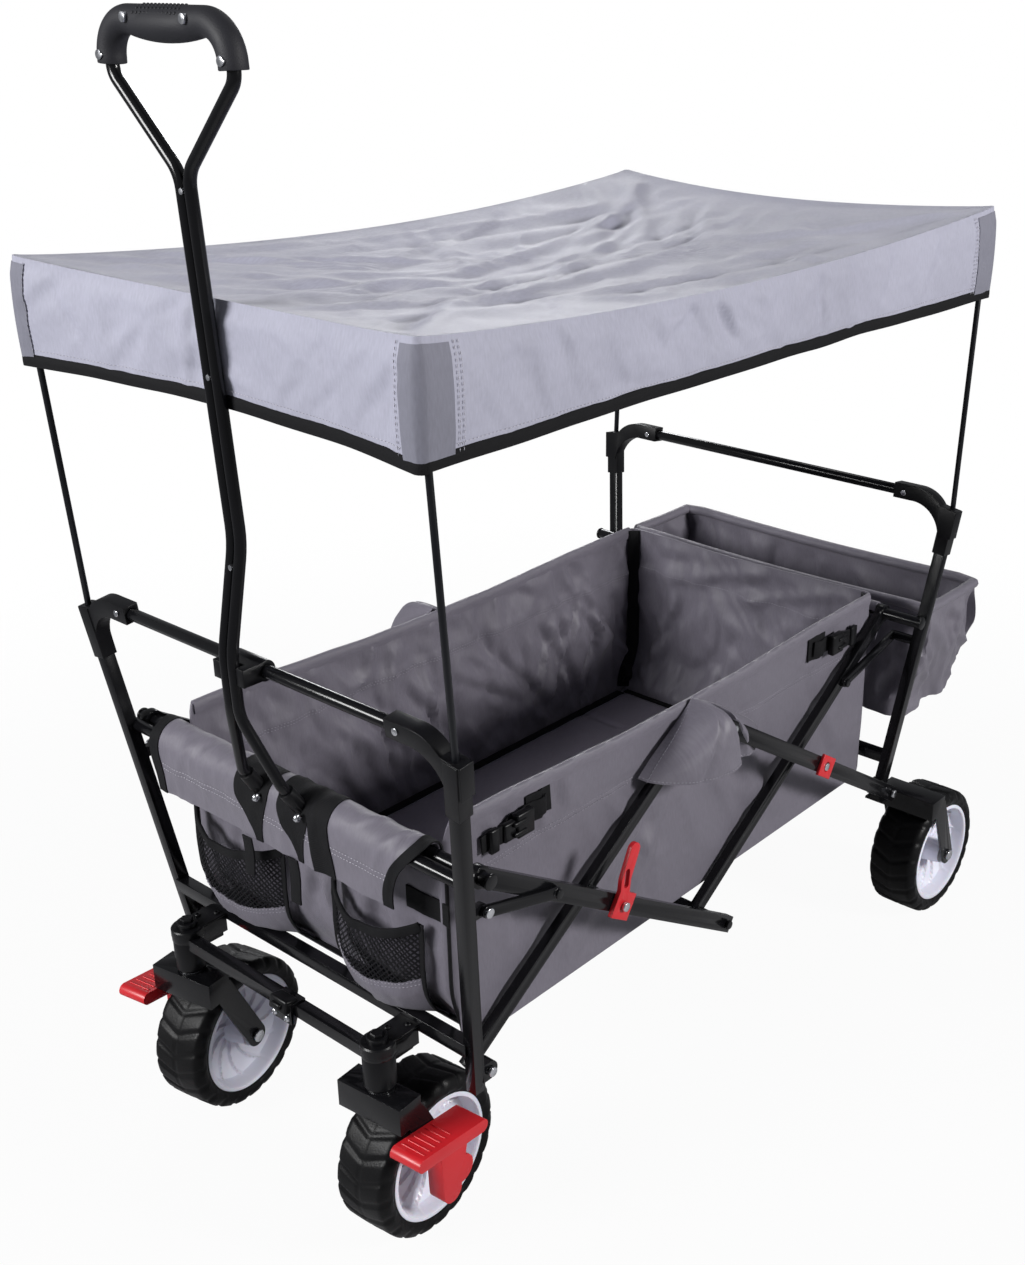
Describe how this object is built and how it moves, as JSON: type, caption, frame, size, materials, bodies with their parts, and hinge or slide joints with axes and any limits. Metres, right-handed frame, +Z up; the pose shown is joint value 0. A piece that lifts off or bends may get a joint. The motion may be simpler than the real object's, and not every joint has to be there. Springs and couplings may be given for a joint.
{
  "type": "folding kids pull wagon",
  "caption": "Folding pull wagon with fabric basket, canopy on corner poles, pull handle, rear bag, swivel front wheels and a scissor linkage on each side.",
  "frame": {"origin": "on the floor under the middle of the whole wagon's bounding box", "axes": "+Z up; the pull handle's end faces -Y; X across the wagon"},
  "size_m": [0.587, 1.0426, 1.1643],
  "materials": {
    "black_frame": "satin black powder coat",
    "black_plastic": "smooth moulded black",
    "bolts": "zinc-plated steel",
    "tyre": "moulded foam rubber tread",
    "wheel_plastic": "pale grey plastic",
    "red_plastic": "red moulded plastic",
    "grey_fabric": "woven polyester",
    "floor_fabric": "board in woven polyester",
    "canopy_fabric": "light woven polyester",
    "mesh_fabric": "open black mesh",
    "grip_rubber": "soft moulded grip",
    "pole": "black glass-fibre rod"
  },
  "bodies": {
    "chassis": {"middle_tube": "black_frame", "canopy": "canopy_fabric"},
    "basket_body": {"basket": "grey_fabric", "floor_boards": "floor_fabric", "front_pockets": "mesh_fabric"},
    "front_rim": {"front_rim_tube": "black_frame"},
    "rear_rim": {"rear_rim_tube": "black_frame"},
    "bars_a": {"bar_a_left": "black_frame", "bar_a_right": "black_frame", "pins_a": "bolts"},
    "bars_b": {"bar_b_left": "black_frame", "bar_b_right": "black_frame"},
    "bars_c": {"bar_c_left": "black_frame", "bar_c_right": "black_frame", "pins_c": "bolts", "rear_clamps": "red_plastic"},
    "bars_d": {"bar_d_left": "black_frame", "bar_d_right": "black_frame", "pins_d": "bolts"},
    "front_frame": {"front_post_left": "black_frame", "front_post_right": "black_frame", "front_connectors": "black_plastic", "front_push_bar": "black_frame", "front_lower_tube": "black_frame", "front_canopy_poles": "pole", "caster_beam": "black_frame", "front_frame_pins": "bolts", "handle_bar": "black_frame", "handle_clip": "black_plastic"},
    "rear_frame": {"rear_post_left": "black_frame", "rear_post_right": "black_frame", "rear_connectors": "black_plastic", "rear_push_bar": "black_frame", "rear_lower_tube": "black_frame", "rear_canopy_poles": "pole", "rear_forks": "black_frame", "rear_frame_pins": "bolts", "rear_bag": "grey_fabric"},
    "front_struts": {"front_struts": "black_frame"},
    "rear_struts": {"rear_struts": "black_frame"},
    "caster_right": {"caster_fork_right": "black_frame", "caster_pins_right": "bolts"},
    "caster_left": {"caster_fork_left": "black_frame", "caster_pins_left": "bolts"},
    "pedal_right": {"brake_pedal_right": "red_plastic"},
    "pedal_left": {"brake_pedal_left": "red_plastic"},
    "front_wheel_right": {"front_tyre_right": "tyre", "front_hub_right": "wheel_plastic"},
    "front_wheel_left": {"front_tyre_left": "tyre", "front_hub_left": "wheel_plastic"},
    "rear_wheel_right": {"rear_tyre_right": "tyre", "rear_hub_right": "wheel_plastic"},
    "rear_wheel_left": {"rear_tyre_left": "tyre", "rear_hub_left": "wheel_plastic"},
    "pull_handle": {"handle_yokes": "black_plastic", "handle_tubes": "black_frame", "handle_grip": "grip_rubber", "handle_rivets": "bolts"},
    "latch_right": {"latch_right": "red_plastic"},
    "latch_left": {"latch_left": "red_plastic"}
  },
  "joints": [
    {"name": "fold", "type": "hinge", "parent": "chassis", "child": "bars_a", "pos_m": [0, -0.04065, 0.19411], "axis": [-1, 0, 0], "range_deg": [0, 40], "deforming": ["canopy"]},
    {"name": "fold_rear", "type": "hinge", "parent": "chassis", "child": "bars_c", "pos_m": [0, -0.04065, 0.19411], "axis": [-1, 0, 0], "range_deg": [-40, 0]},
    {"name": "cross_front", "type": "hinge", "parent": "bars_a", "child": "bars_b", "pos_m": [0, -0.23165, 0.31673], "axis": [-1, 0, 0], "range_deg": [-80, 0]},
    {"name": "cross_rear", "type": "hinge", "parent": "bars_c", "child": "bars_d", "pos_m": [0, 0.15035, 0.31673], "axis": [-1, 0, 0], "range_deg": [0, 80]},
    {"name": "foot_front", "type": "hinge", "parent": "bars_b", "child": "front_frame", "pos_m": [0, -0.40336, 0.2065], "axis": [-1, 0, 0], "range_deg": [0, 40]},
    {"name": "foot_rear", "type": "hinge", "parent": "bars_d", "child": "rear_frame", "pos_m": [0, 0.32205, 0.2065], "axis": [-1, 0, 0], "range_deg": [-40, 0]},
    {"name": "basket_rise", "type": "slide", "parent": "chassis", "child": "basket_body", "axis": [0, 0, 1], "range_m": [0, 0.1887], "deforming": ["basket", "floor_boards", "front_pockets"]},
    {"name": "rim_front", "type": "hinge", "parent": "bars_a", "child": "front_rim", "pos_m": [0, -0.42466, 0.44063], "axis": [-1, 0, 0], "range_deg": [-40, 0]},
    {"name": "rim_rear", "type": "hinge", "parent": "bars_c", "child": "rear_rim", "pos_m": [0, 0.34335, 0.44063], "axis": [-1, 0, 0], "range_deg": [0, 40]},
    {"name": "strut_front", "type": "hinge", "parent": "front_frame", "child": "front_struts", "pos_m": [0, -0.42368, 0.40643], "axis": [-1, 0, 0], "range_deg": [0, 80]},
    {"name": "strut_rear", "type": "hinge", "parent": "rear_frame", "child": "rear_struts", "pos_m": [0, 0.36277, 0.40643], "axis": [-1, 0, 0], "range_deg": [-80, 0]},
    {"name": "swivel_right", "type": "hinge", "parent": "front_frame", "child": "caster_right", "pos_m": [0.15, -0.47265, 0.24], "axis": [0, 0, 1], "continuous": true},
    {"name": "front_spin_right", "type": "hinge", "parent": "caster_right", "child": "front_wheel_right", "pos_m": [0.14608, -0.42783, 0.086], "axis": [0.9962, 0.0872, 0], "continuous": true},
    {"name": "pedal_press_right", "type": "hinge", "parent": "caster_right", "child": "pedal_right", "pos_m": [0.14608, -0.42783, 0.086], "axis": [0.9962, 0.0872, 0], "range_deg": [0, 18]},
    {"name": "rear_spin_right", "type": "hinge", "parent": "rear_frame", "child": "rear_wheel_right", "pos_m": [0.249, 0.41735, 0.086], "axis": [1, 0, 0], "continuous": true},
    {"name": "latch_turn_right", "type": "hinge", "parent": "bars_a", "child": "latch_right", "pos_m": [0, -0.23165, 0.31673], "axis": [1, 0, 0], "range_deg": [0, 30]},
    {"name": "swivel_left", "type": "hinge", "parent": "front_frame", "child": "caster_left", "pos_m": [-0.15, -0.47265, 0.24], "axis": [0, 0, 1], "continuous": true},
    {"name": "front_spin_left", "type": "hinge", "parent": "caster_left", "child": "front_wheel_left", "pos_m": [-0.15781, -0.42834, 0.086], "axis": [0.9848, 0.1736, 0], "continuous": true},
    {"name": "pedal_press_left", "type": "hinge", "parent": "caster_left", "child": "pedal_left", "pos_m": [-0.15781, -0.42834, 0.086], "axis": [0.9848, 0.1736, 0], "range_deg": [0, 18]},
    {"name": "rear_spin_left", "type": "hinge", "parent": "rear_frame", "child": "rear_wheel_left", "pos_m": [-0.249, 0.41735, 0.086], "axis": [1, 0, 0], "continuous": true},
    {"name": "latch_turn_left", "type": "hinge", "parent": "bars_a", "child": "latch_left", "pos_m": [0, -0.23165, 0.31673], "axis": [1, 0, 0], "range_deg": [0, 30]},
    {"name": "handle_tilt", "type": "hinge", "parent": "front_frame", "child": "pull_handle", "pos_m": [0, -0.44266, 0.44063], "axis": [1, 0, 0], "range_deg": [0, 110]}
  ],
  "couplings": [
    {"joint": "basket_rise", "follows": "fold", "m_per_rad": 0.2696},
    {"joint": "rim_front", "follows": "fold", "ratio": -1},
    {"joint": "rim_rear", "follows": "fold", "ratio": 1},
    {"joint": "fold_rear", "follows": "fold", "ratio": -1},
    {"joint": "cross_front", "follows": "fold", "ratio": -2},
    {"joint": "cross_rear", "follows": "fold", "ratio": 2},
    {"joint": "foot_front", "follows": "fold", "ratio": 1},
    {"joint": "foot_rear", "follows": "fold", "ratio": -1},
    {"joint": "strut_front", "follows": "fold", "ratio": 2},
    {"joint": "strut_rear", "follows": "fold", "ratio": -2}
  ]
}
